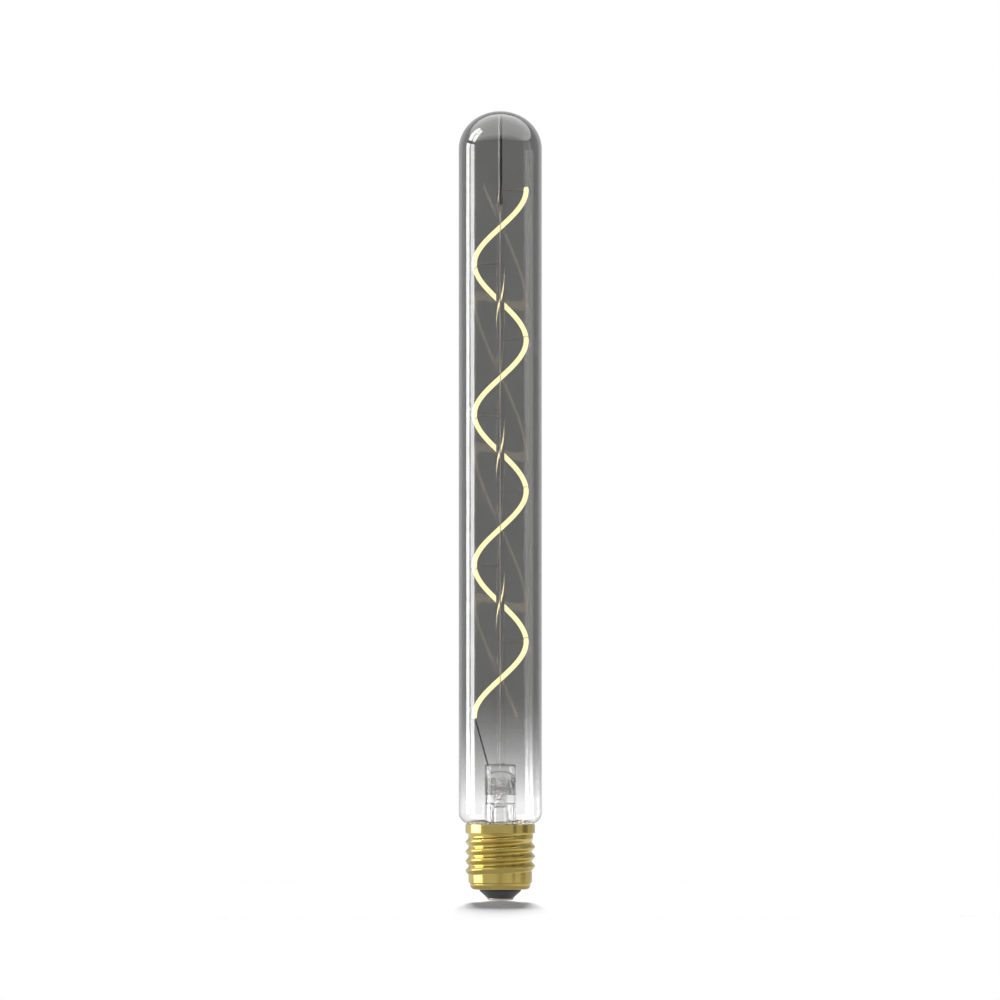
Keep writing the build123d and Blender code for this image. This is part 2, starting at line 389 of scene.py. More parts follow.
@dataclass(frozen=True)
class TintedGlass:
    """Blown glass whose smoke colour fades along the axis."""

    name: str
    smoke: Colour
    clear: Colour
    fade_top: float
    fade_foot: float
    fade_curve: float
    ior: float = 1.5
    cloud_scale: float = 60.0
    cloud_speckle: float = 400.0
    unevenness: float = 0.02
    ripple: float = 0.0
    ripple_low: float = 0.0
    ripple_high: float = 0.0
    ripple_radius: float = 0.0
    ripple_edge: float = 0.2
    ripple_fade: float = 0.4
    lump_scale: float = 700.0
    lump_speckle: float = 1700.0
    lump_grain: float = 0.35

    def build(self) -> bpy.types.Material:
        """Makes the material, letting light through to what stands inside and below.

        Returns:
            The material.
        """
        material, sheet, surface, output = new_material(self.name)
        place = sheet.coordinates()
        height = sheet.add("ShaderNodeMapRange")
        limits = (self.fade_top * MM, self.fade_foot * MM)
        for target, value in zip(height.inputs, (place[2], *limits, 0.0, 1.0)):
            sheet.feed(target, value)
        share = sheet.sum("POWER", height.outputs["Result"], self.fade_curve, clamp=True)
        blotch = place_group(sheet, BLOTCHES, Scale=self.cloud_scale, Speckle=self.cloud_speckle)
        uneven = sheet.sum("MULTIPLY_ADD", blotch.outputs["Mask"], self.unevenness, share)
        sheet.feed(surface.inputs["Base Color"], sheet.blend(uneven, self.smoke, self.clear))
        sheet.feed(surface.inputs["Roughness"], 0.0)
        sheet.feed(surface.inputs["IOR"], self.ior)
        sheet.feed(surface.inputs["Transmission Weight"], 1.0)
        if self.ripple:
            self.add_ripple(sheet, surface, place)
        path = sheet.add("ShaderNodeLightPath")
        glass = surface.outputs["BSDF"]
        open_way = sheet.add("ShaderNodeBsdfTransparent").outputs["BSDF"]
        sheet.feed(output.inputs["Surface"], sheet.switch(path.outputs["Is Shadow Ray"], glass, open_way))
        return material

    def add_ripple(self, sheet: NodeSheet, surface: bpy.types.Node, place: Place) -> None:
        """Makes the melted inside of the press uneven.

        Args:
            sheet: the material's sheet.
            surface: its Principled node.
            place: the place's coordinates.
        """
        across, along, up = place
        square = sheet.sum("MULTIPLY", across, across)
        away = sheet.sum("SQRT", sheet.sum("MULTIPLY_ADD", along, along, square))
        edge = self.ripple_radius + self.ripple_edge
        inner = sheet.ramp(away, self.ripple_radius * MM, edge * MM, 1.0, 0.0)
        tall = sheet.band(up, self.ripple_low * MM, self.ripple_high * MM, self.ripple_fade * MM)
        lumps = place_group(sheet, BLOTCHES, Scale=self.lump_scale, Speckle=self.lump_speckle)
        height = sheet.sum("MULTIPLY_ADD", lumps.outputs["Grain"], self.lump_grain, lumps.outputs["Mask"])
        kept = sheet.sum("MULTIPLY", sheet.sum("MULTIPLY", inner, tall), height)
        add_bump(sheet, surface, kept, 1.0, self.ripple)


@dataclass(frozen=True)
class FilamentGlow:
    """Soft phosphor silicone, lit from the row of chips inside it."""

    name: str
    silicone: Colour
    bright: Colour
    dim: Colour
    strength: float
    scale: float = 300.0
    speckle: float = 1500.0
    gloss: float = 0.3
    matt: float = 0.45

    def build(self) -> bpy.types.Material:
        """Makes the material.

        Returns:
            The material.
        """
        material, sheet, surface, _ = new_material(self.name)
        blotch = place_group(sheet, BLOTCHES, Scale=self.scale, Speckle=self.speckle)
        sheet.feed(surface.inputs["Base Color"], self.silicone)
        rough = sheet.ramp(blotch.outputs["Grain"], 0.0, 1.0, self.gloss, self.matt)
        sheet.feed(surface.inputs["Roughness"], rough)
        glow = sheet.blend(blotch.outputs["Mask"], self.bright, self.dim)
        sheet.feed(surface.inputs["Emission Color"], glow)
        sheet.feed(surface.inputs["Emission Strength"], self.strength)
        material.cycles.emission_sampling = "NONE"
        return material


@dataclass(frozen=True)
class TurnedMetal:
    """Metal with fine rings round the axis and a soft tarnish."""

    name: str
    bright: Colour
    tarnished: Colour
    tarnish: float
    polish: float
    wear: float
    rings: float
    ring_depth: float
    ring_breaks: float = 2.0
    ring_strength: float = 0.2
    scale: float = 180.0
    speckle: float = 3000.0

    def build(self) -> bpy.types.Material:
        """Makes the material.

        Returns:
            The material.
        """
        material, sheet, surface, _ = new_material(self.name)
        marks = place_group(sheet, TURNED_MARKS, Rings=self.rings, Breaks=self.ring_breaks)
        blotch = place_group(sheet, BLOTCHES, Scale=self.scale, Speckle=self.speckle)
        share = sheet.sum("MULTIPLY", blotch.outputs["Mask"], self.tarnish)
        sheet.feed(surface.inputs["Base Color"], sheet.blend(share, self.bright, self.tarnished))
        sheet.feed(surface.inputs["Metallic"], 1.0)
        worn = sheet.sum("MULTIPLY_ADD", marks.outputs["Mask"], self.wear, self.polish)
        rough = sheet.sum("MULTIPLY_ADD", blotch.outputs["Grain"], self.wear / 2, worn)
        sheet.feed(surface.inputs["Roughness"], rough)
        add_bump(sheet, surface, marks.outputs["Height"], self.ring_strength, self.ring_depth)
        return material


@dataclass(frozen=True)
class MouldedBody:
    """A moulded, fired or pressed body with flow blotches and a fine grain."""

    name: str
    light: Colour
    dark: Colour
    gloss: float
    grain_depth: float
    scale: float = 250.0
    coat: float = 0.0
    speckle_ratio: float = 9.0
    gloss_change: float = 0.15
    grain_strength: float = 0.3

    def build(self) -> bpy.types.Material:
        """Makes the material.

        Returns:
            The material.
        """
        material, sheet, surface, _ = new_material(self.name)
        blotch = place_group(sheet, BLOTCHES, Scale=self.scale, Speckle=self.scale * self.speckle_ratio)
        sheet.feed(surface.inputs["Base Color"], sheet.blend(blotch.outputs["Mask"], self.light, self.dark))
        rough = sheet.ramp(blotch.outputs["Grain"], 0.0, 1.0, self.gloss, self.gloss + self.gloss_change)
        sheet.feed(surface.inputs["Roughness"], rough)
        sheet.feed(surface.inputs["Coat Weight"], self.coat)
        add_bump(sheet, surface, blotch.outputs["Grain"], self.grain_strength, self.grain_depth)
        return material


FINISHES = {
    Slot.SMOKED_GLASS: TintedGlass(
        "smoked_glass", (0.350, 0.350, 0.347), (0.99, 0.99, 0.99),
        fade_top=80.0, fade_foot=37.0, fade_curve=1.55,
    ),
    Slot.CLEAR_GLASS: TintedGlass(
        "clear_glass", (0.975, 0.975, 0.975), (0.972, 0.972, 0.972),
        fade_top=300.0, fade_foot=20.0, fade_curve=1.0,
        ripple=0.5, ripple_low=37.6, ripple_high=46.5, ripple_radius=4.6,
    ),
    Slot.FILAMENT_GLOW: FilamentGlow(
        "filament_glow", (0.80, 0.62, 0.28), (1.0, 0.86, 0.47), (1.0, 0.83, 0.44), strength=3.4
    ),
    Slot.CAP_BRASS: TurnedMetal(
        "cap_brass", (0.55, 0.43, 0.132), (0.49, 0.365, 0.10),
        tarnish=0.5, polish=0.10, wear=0.08, rings=2600.0, ring_depth=0.006,
    ),
    Slot.BLACK_INSULATOR: MouldedBody(
        "black_insulator", (0.046, 0.045, 0.050), (0.036, 0.035, 0.039),
        gloss=0.32, grain_depth=0.002, coat=0.2,
    ),
    Slot.CONTACT_METAL: TurnedMetal(
        "contact_metal", (0.66, 0.65, 0.62), (0.48, 0.46, 0.43),
        tarnish=0.6, polish=0.24, wear=0.14, rings=1500.0, ring_depth=0.02,
    ),
    Slot.LEAD_WIRE: TurnedMetal(
        "lead_wire", (0.24, 0.235, 0.225), (0.17, 0.165, 0.155),
        tarnish=0.6, polish=0.26, wear=0.06, rings=900.0, ring_depth=0.003,
    ),
    Slot.CAP_CEMENT: MouldedBody(
        "cap_cement", (0.80, 0.78, 0.73), (0.68, 0.66, 0.61), gloss=0.75, grain_depth=0.08, scale=400.0
    ),
    Slot.BOARD_LAMINATE: MouldedBody(
        "board_laminate", (0.045, 0.16, 0.07), (0.03, 0.11, 0.05), gloss=0.4, grain_depth=0.02
    ),
    Slot.CHIP_PLASTIC: MouldedBody(
        "chip_plastic", (0.035, 0.035, 0.037), (0.02, 0.02, 0.022), gloss=0.5, grain_depth=0.02
    ),
    Slot.PART_CERAMIC: MouldedBody(
        "part_ceramic", (0.52, 0.40, 0.27), (0.42, 0.31, 0.2), gloss=0.45, grain_depth=0.02
    ),
}
MATERIALS = {slot: finish.build() for slot, finish in FINISHES.items()}
# Copies of the lead wire's metal painted lighter, so that the return lead in the column and the hooks read
# light rather than shaded dark.
SEALED_WIRE_PAINTED_LIGHTER = replace(
    FINISHES[Slot.LEAD_WIRE], name="sealed_wire_painted_lighter", bright=(0.86, 0.85, 0.83), tarnished=(0.72, 0.71, 0.68)
).build()
HOOK_WIRE_PAINTED_LIGHTER = replace(
    FINISHES[Slot.LEAD_WIRE], name="hook_wire_painted_lighter", bright=(0.51, 0.50, 0.485), tarnished=(0.41, 0.40, 0.385)
).build()


def arc(centre: Point, across: float, up: float, start: float, end: float, steps: int) -> list[Point]:
    """Points of an elliptical arc in a half section.

    Args:
        centre: the ellipse's centre.
        across: its half width.
        up: its half height.
        start: first angle in degrees.
        end: last angle in degrees.
        steps: number of stretches.

    Returns:
        The arc's points, both ends with it.
    """
    angles = (math.radians(start + (end - start) * step / steps) for step in range(steps + 1))
    return [(centre[0] + across * math.cos(angle), centre[1] + up * math.sin(angle)) for angle in angles]


def new_piece(
    name: str, vertices: list[Vector], faces: list[tuple[int, ...]], sharp: float
) -> bpy.types.Object:
    """Makes a mesh object from points in millimetres.

    Args:
        name: the piece's name.
        vertices: its points.
        faces: its faces, as indices of points.
        sharp: edges that turn more than this many degrees stay sharp.

    Returns:
        The new object, linked to the scene.
    """
    mesh = bpy.data.meshes.new(name)
    mesh.from_pydata([vertex * MM for vertex in vertices], [], faces)
    mesh.validate()
    mesh.shade_smooth()
    mesh.set_sharp_from_angle(angle=math.radians(sharp))
    piece = bpy.data.objects.new(name, mesh)
    bpy.context.scene.collection.objects.link(piece)
    return piece


def revolved(
    name: str,
    outlines: Sequence[Sequence[Point]],
    segments: int,
    sharp: float = 40.0,
    relief: Optional[Relief] = None,
) -> bpy.types.Object:
    """Turns closed outlines about the axis, each with its material on the left of its way round.

    Args:
        name: the piece's name.
        outlines: radius and height of each outline's points.
        segments: number of steps round the axis.
        sharp: edges that turn more than this many degrees stay sharp.
        relief: gives the reach from a point's radius and height and the angle, where it isn't the radius.

    Returns:
        The new object.
    """
    vertices: list[Vector] = []
    faces: list[tuple[int, ...]] = []
    for outline in outlines:
        rings: list[list[int]] = []
        for radius, height in outline:
            count = segments if radius > ON_AXIS else 1
            rings.append(list(range(len(vertices), len(vertices) + count)))
            for step in range(count):
                angle = 2 * math.pi * step / segments
                reach = relief(radius, height, angle) if relief else radius
                vertices.append(Vector((reach * math.cos(angle), reach * math.sin(angle), height)))
        for ring, after in zip(rings, rings[1:] + rings[:1]):
            faces.extend(band_faces(ring, after))
    return new_piece(name, vertices, faces, sharp)


def band_faces(ring: list[int], after: list[int]) -> list[tuple[int, ...]]:
    """Faces between two neighbouring rings of points, either of which may be one point on the axis.

    Args:
        ring: indices of the first ring.
        after: indices of the next ring.

    Returns:
        The faces, none where both rings are single points.
    """
    count = max(len(ring), len(after))
    faces: list[tuple[int, ...]] = []
    if count == 1:
        return faces
    for step in range(count):
        corners = (
            ring[step % len(ring)],
            ring[(step + 1) % len(ring)],
            after[(step + 1) % len(after)],
            after[step % len(after)],
        )
        faces.append(tuple(dict.fromkeys(corners)))
    return faces


def swept(
    name: str, route: Sequence[Vector], radius: float, sides: int, end: WireEnd = WireEnd.FLAT
) -> bpy.types.Object:
    """Sweeps a round section along a route without twist.

    Args:
        name: the piece's name.
        route: points of the centre line, in millimetres.
        radius: the section's radius.
        sides: number of points round the section.
        end: how the two ends are closed.

    Returns:
        The new object.
    """
    tangents = [
        (route[min(i + 1, len(route) - 1)] - route[max(i - 1, 0)]).normalized() for i in range(len(route))
    ]
    normals = [tangents[0].orthogonal().normalized()]
    for before, tangent in zip(tangents, tangents[1:]):
        normals.append(before.rotation_difference(tangent) @ normals[-1])
    sections = [(point, tangent, normal, 1.0) for point, tangent, normal in zip(route, tangents, normals)]
    if end is WireEnd.ROUND:
        foot, top = sections[0], sections[-1]
        for angle in map(math.radians, ROUND_END_ANGLES):
            reach, share = radius * math.sin(angle), math.cos(angle)
            sections.insert(0, (foot[0] - foot[1] * reach, foot[1], foot[2], share))
            sections.append((top[0] + top[1] * reach, top[1], top[2], share))
    reach = radius if end is WireEnd.ROUND else 0.0
    vertices = [route[0] - tangents[0] * reach]
    rings = [[0]]
    for point, tangent, normal, share in sections:
        other = tangent.cross(normal)
        rings.append(list(range(len(vertices), len(vertices) + sides)))
        for step in range(sides):
            angle = 2 * math.pi * step / sides
            offset = normal * math.cos(angle) + other * math.sin(angle)
            vertices.append(point + offset * radius * share)
    rings.append([len(vertices)])
    vertices.append(route[-1] + tangents[-1] * reach)
    faces = [face for ring, after in zip(rings, rings[1:]) for face in band_faces(ring, after)]
    return new_piece(name, vertices, faces, WIRE_SHARP)


def rounded_route(corners: Sequence[Vector], bend: float, steps: int = 8) -> list[Vector]:
    """Rounds the inner corners of a bent wire's route.

    Args:
        corners: the route's corner points.
        bend: length taken from each run at a corner.
        steps: number of stretches in each bend.

    Returns:
        The points of the rounded route.
    """
    route = [corners[0]]
    for before, corner, after in zip(corners, corners[1:], corners[2:]):
        start = corner + (before - corner).normalized() * bend
        stop = corner + (after - corner).normalized() * bend
        for step in range(steps + 1):
            share = step / steps
            route.append(start.lerp(corner, share).lerp(corner.lerp(stop, share), share))
    route.append(corners[-1])
    return route


def dress(
    piece: bpy.types.Object, slot: Slot, node: str, finish: Optional[bpy.types.Material] = None
) -> bpy.types.Object:
    """Gives a piece its finish and body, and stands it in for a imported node.

    Args:
        piece: the new piece.
        slot: the material slot that it takes its finish from.
        node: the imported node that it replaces.
        finish: a variant of the slot's finish, where the piece has one.

    Returns:
        The same piece.
    """
    piece.data.materials.append(finish or MATERIALS[slot])
    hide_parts(node)
    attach(piece, ROOT_BODY)
    LOG.info("%s stands for %s in %s, %d faces", piece.name, node, slot.value, len(piece.data.polygons))
    return piece


def redress(node: str, slot: Slot) -> bpy.types.Object:
    """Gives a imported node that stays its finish.

    Args:
        node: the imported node.
        slot: the material slot that it takes its finish from.

    Returns:
        The node's object.
    """
    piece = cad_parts[node]
    piece.data.materials.clear()
    piece.data.materials.append(MATERIALS[slot])
    LOG.info("%s keeps its packed form in %s", node, slot.value)
    return piece


@dataclass
class GlassEnvelope:
    """The long blown tube with its dome, shoulder and neck."""

    wall: float = 1.1
    shoulder_wall: float = 0.3
    taper_top: float = 78.0
    dome_height: float = 14.4
    neck_radius: float = 11.3
    neck_thickening: float = 3.0
    segments: int = 160
    dome_steps: int = 40
    dome_end: float = 89.2
    shoulder_steps: int = 16
    span: NodeSpan = field(default_factory=lambda: NodeSpan.of("glass_envelope"))
    rim: float = field(default_factory=lambda: NodeSpan.of("screw_shell").high.z)

    def outline(self) -> list[Point]:
        """Half section of the wall, up the outside and down the inside.

        Returns:
            Radius and height of its points.
        """
        radius, top = self.span.radius, self.span.high.z
        inside = radius - self.wall
        thin = self.neck_radius - self.shoulder_wall
        dome = (0.0, top - self.dome_height)
        bow, steps = radius - self.neck_radius, self.shoulder_steps
        bow_height = self.rim + bow
        return [
            (self.neck_radius, self.span.low.z),
            *arc((self.neck_radius, bow_height), bow, bow, 270, 360, steps),
            *arc(dome, radius, self.dome_height, 0, self.dome_end, self.dome_steps),
            (0.0, top),
            (0.0, top - self.wall),
            *arc(dome, inside, self.dome_height - self.wall, self.dome_end, 0, self.dome_steps),
            (inside, self.taper_top),
            *arc((thin, bow_height), bow, bow - self.shoulder_wall, 360, 270, steps),
            (self.neck_radius - self.wall, self.rim - self.neck_thickening),
            (self.neck_radius - self.wall, self.span.low.z),
        ]

    def build(self) -> bpy.types.Object:
        """Makes and dresses the envelope."""
        glass = revolved("envelope_glass", [self.outline()], self.segments)
        return dress(glass, Slot.SMOKED_GLASS, "glass_envelope")


@dataclass
class GlassStem:
    """The clear mount: flare, stem tube, web, exhaust tube and centre column in one piece."""

    radius: float = 5.925
    wall: float = 1.0
    top_above_rim: float = 22.8
    corner: float = 0.7
    crown: float = 2.9
    roof: float = 0.4
    pocket_wall: float = 0.35
    pocket_top: float = 0.47
    pocket_drop: float = 2.7
    pocket_corner: float = 0.4
    hollow_radius: float = 4.525
    hollow_height: float = 5.6
    hollow_corner: float = 0.6
    ceiling_rise: float = 2.68
    floor_drop: float = 3.2
    floor_inset: float = 0.9
    web: float = 6.2
    exhaust_radius: float = 3.05
    exhaust_tip: float = 1.83
    bore_radius: float = 1.7
    bore_lip: float = 0.4
    lip_drop: float = 0.7
    tube_bore: float = 2.45
    bore_tip: float = 0.8
    tip_wall: float = 1.6
    web_fillet: float = 0.8
    column_radius: float = 1.6
    column_fillet: float = 0.35
    flare_rise: float = 5.3
    flare_gap: float = 0.05
    pinches: tuple[Point, ...] = (
        (1.5, -0.15), (2.0, -0.45), (2.6, -0.6), (3.3, -0.3), (4.0, 0.2),
        (4.7, 0.0), (5.4, -0.2), (6.2, 0.3), (7.2, 0.75),
    )
    segments: int = 96
    sharp: float = 50.0
    span: NodeSpan = field(default_factory=lambda: NodeSpan.of("glass_stem"))
    rim: float = field(default_factory=lambda: NodeSpan.of("screw_shell").high.z)

    @property
    def top(self) -> float:
        """Height of the stem's flat top."""
        return self.rim + self.top_above_rim

    @property
    def ceiling(self) -> float:
        """Height of the hollow's ceiling on the axis."""
        return self.top - self.crown

    @property
    def floor(self) -> float:
        """Height of the hollow's floor on the axis."""
        return self.ceiling - self.hollow_height

    def skin(self) -> list[Point]:
        """Half section of the outside, from the exhaust tip round the flare to the column's top.

        Returns:
            Radius and height of its points.
        """
        tip, column_top = self.span.low.z, self.span.high.z
        inside = self.radius - self.wall
        flare = self.span.radius - self.flare_gap
        flare_top = NodeSpan.of("glass_envelope").low.z + self.flare_rise
        bow = self.flare_rise - self.wall
        corner, web, column = self.corner, self.web_fillet, self.column_fillet
        web_height = self.floor - self.web - web
        return [
            (0.0, tip),
            *arc((0.0, tip + self.exhaust_tip), self.exhaust_radius, self.exhaust_tip, 276, 360, 10),
            *arc((self.exhaust_radius + web, web_height), web, web, 180, 90, 8),
            *arc((inside - web, web_height), web, web, 90, 0, 8),
            *arc((flare, flare_top - self.wall), flare - inside, bow, 180, 270, 10),
            *arc((flare, flare_top), flare - self.radius, bow, 270, 180, 10),
            *arc((self.radius - corner, self.top - corner), corner, corner, 0, 90, 8),
            *arc((self.column_radius + column, self.top + column), column, column, 270, 180, 6),
            *arc((self.column_radius - column, column_top - column), column, column, 0, 90, 6),
            (0.0, column_top),
        ]

    def pocket(self) -> list[Point]:
        """Half section of the air pocket between the thin roof and the domed press.

        Returns:
            Radius and height of its points.
        """
        inside = self.radius - self.pocket_wall
        under = self.top - self.roof
        press = self.ceiling + self.pocket_top
        corner = self.pocket_corner
        return [
            (0.0, under),
            *arc((inside - corner, under - corner), corner, corner, 90, 0, 6),
            *arc((0.0, press - self.pocket_drop), inside, self.pocket_drop, 2, 86, 16),
            (0.0, press),
        ]

    def hollow(self) -> list[Point]:
        """Half section of the round-topped hollow and the exhaust bore below it.

        Returns:
            Radius and height of its points.
        """
        foot = self.floor - self.floor_drop
        bore_foot = self.span.low.z + self.tip_wall
        corner, lip = self.hollow_corner, self.bore_lip
        return [
            (0.0, self.ceiling),
            *arc((0.0, self.ceiling - self.ceiling_rise), self.hollow_radius, self.ceiling_rise, 86, 0, 14),
            *arc((self.hollow_radius - corner, foot + corner), corner, corner, 0, -80, 6),
            *arc((0.0, foot), self.hollow_radius - self.floor_inset, self.floor_drop, 8, 64, 12),
            *arc((self.bore_radius + lip, self.floor - self.lip_drop), lip, lip, 90, 180, 5),
            *[(self.bore_radius + pinch, self.floor - drop) for drop, pinch in self.pinches],
            *arc((0.0, bore_foot + self.bore_tip), self.tube_bore, self.bore_tip, 0, -84, 6),
            (0.0, bore_foot),
        ]

    def build(self) -> bpy.types.Object:
        """Makes and dresses the stem.

        Returns:
            The stem.
        """
        outlines = [self.skin(), self.pocket(), self.hollow()]
        stem = revolved("stem_glass", outlines, self.segments, self.sharp)
        return dress(stem, Slot.CLEAR_GLASS, "glass_stem")


@dataclass
class FilamentMount:
    """The wound filament with its hooks, leads and anchor wire."""

    helix_radius: float = 9.83
    turns: float = 3.5
    filament_radius: float = 0.93
    filament_top: float = 270.4
    filament_foot: float = 70.28
    steps_per_turn: int = 72
    filament_sides: int = 20
    hooks_per_turn: int = 4
    hook_radius: float = 0.15
    hook_clearance: float = 0.05
    hook_root: float = 0.1
    hook_neck: float = 0.4
    hook_start: float = 165.0
    hook_end: float = -150.0
    hook_steps: int = 28
    hook_sides: int = 8
    column_radius: float = 1.6
    anchor_radius: float = 0.79
    upper_lead_radius: float = 0.25
    upper_lead_overlap: float = 0.6
    lead_radius: float = 0.3
    lead_inset: float = 0.15
    lead_drop: float = 0.4
    return_radius: float = 0.13
    lead_offset: float = 3.85
    lead_bend_height: float = 48.58
    return_bend_height: float = 43.48
    bend: float = 1.2
    wire_sides: int = 16

    @property
    def pitch(self) -> float:
        """Rise of one turn."""
        return (self.filament_top - self.filament_foot) / self.turns

    def on_helix(self, turn: float) -> Vector:
        """Point of the filament's centre line.

        Args:
            turn: turns counted down from its top end.

        Returns:
            The point.
        """
        angle = -2 * math.pi * turn
        around = Vector((math.cos(angle), math.sin(angle), 0.0))
        return around * self.helix_radius + UP * (self.filament_top - self.pitch * turn)

    def build_filament(self) -> None:
        """Makes and dresses the filament."""
        count = int(self.turns * self.steps_per_turn)
        route = [self.on_helix(self.turns * step / count) for step in range(count + 1)]
        piece = swept("filament_cord", route, self.filament_radius, self.filament_sides, WireEnd.ROUND)
        dress(piece, Slot.FILAMENT_GLOW, "led_filament")

    def build_hook(self, number: int) -> None:
        """Makes and dresses one hook: an arm from the column and a bend round the filament.

        Args:
            number: the hook's place, counted in quarter turns from the top.
        """
        centre = self.on_helix(number / self.hooks_per_turn)
        outward = Vector((centre.x, centre.y, 0.0)).normalized()
        slant = math.hypot(1.0, self.pitch / (2 * math.pi * self.helix_radius))
        wide = self.filament_radius + self.hook_clearance + self.hook_radius
        tall = self.filament_radius * slant + self.hook_clearance + self.hook_radius
        arm = (self.column_radius - self.hook_root, self.helix_radius - wide - self.hook_neck)
        route = [UP * centre.z + outward * reach for reach in arm]
        for across, rise in arc((0.0, 0.0), wide, tall, self.hook_start, self.hook_end, self.hook_steps):
            route.append(centre + outward * across + UP * rise)
        piece = swept(f"hook_{number:02d}", route, self.hook_radius, self.hook_sides, WireEnd.ROUND)
        # The hook takes the copy of the wire metal that is painted lighter.
        dress(piece, Slot.LEAD_WIRE, f"support_hook_{number:02d}", HOOK_WIRE_PAINTED_LIGHTER)

    def build_wires(self) -> list[bpy.types.Object]:
        """Makes and dresses the anchor wire and the leads.

        Returns:
            The wires, the anchor first and the column's lead last.
        """
        anchor, upper = NodeSpan.of("top_anchor_wire"), NodeSpan.of("upper_lead")
        board_top = NodeSpan.of("lower_lead").low.z
        upper_height = (upper.low.z + upper.high.z) / 2
        upper_reach = self.helix_radius - self.upper_lead_overlap
        wires = (
            ("anchor_wire", "top_anchor_wire", self.anchor_radius, WireEnd.FLAT,
             [(0, 0, anchor.low.z), (0, 0, anchor.high.z)]),
            ("top_lead", "upper_lead", self.upper_lead_radius, WireEnd.ROUND,
             [(self.anchor_radius, 0, upper_height), (upper_reach, 0, upper_height)]),
            ("foot_lead", "lower_lead", self.lead_radius, WireEnd.FLAT,
             [(-self.helix_radius + self.lead_inset, 0, self.filament_foot - self.lead_drop),
              (-self.lead_offset, 0, self.lead_bend_height), (-self.lead_offset, 0, board_top)]),
            ("column_lead", "return_lead", self.return_radius, WireEnd.FLAT,
             [(0, 0, anchor.low.z), (0, 0, self.lead_bend_height),
              (self.lead_offset, 0, self.return_bend_height), (self.lead_offset, 0, board_top)]),
        )
        # The return lead and the top lead take copies of the wire metal that are painted lighter.
        finishes = {"return_lead": SEALED_WIRE_PAINTED_LIGHTER, "upper_lead": HOOK_WIRE_PAINTED_LIGHTER}
        pieces = []
        for name, node, radius, end, corners in wires:
            route = rounded_route([Vector(corner) for corner in corners], self.bend)
            piece = swept(name, route, radius, self.wire_sides, end)
            pieces.append(dress(piece, Slot.LEAD_WIRE, node, finishes.get(node)))
        return pieces

    def build(self) -> list[bpy.types.Object]:
        """Makes every piece of the mount.

        Returns:
            Its wires, the anchor first and the column's lead last.
        """
        self.build_filament()
        for number in range(1, int(self.turns * self.hooks_per_turn)):
            self.build_hook(number)
        return self.build_wires()


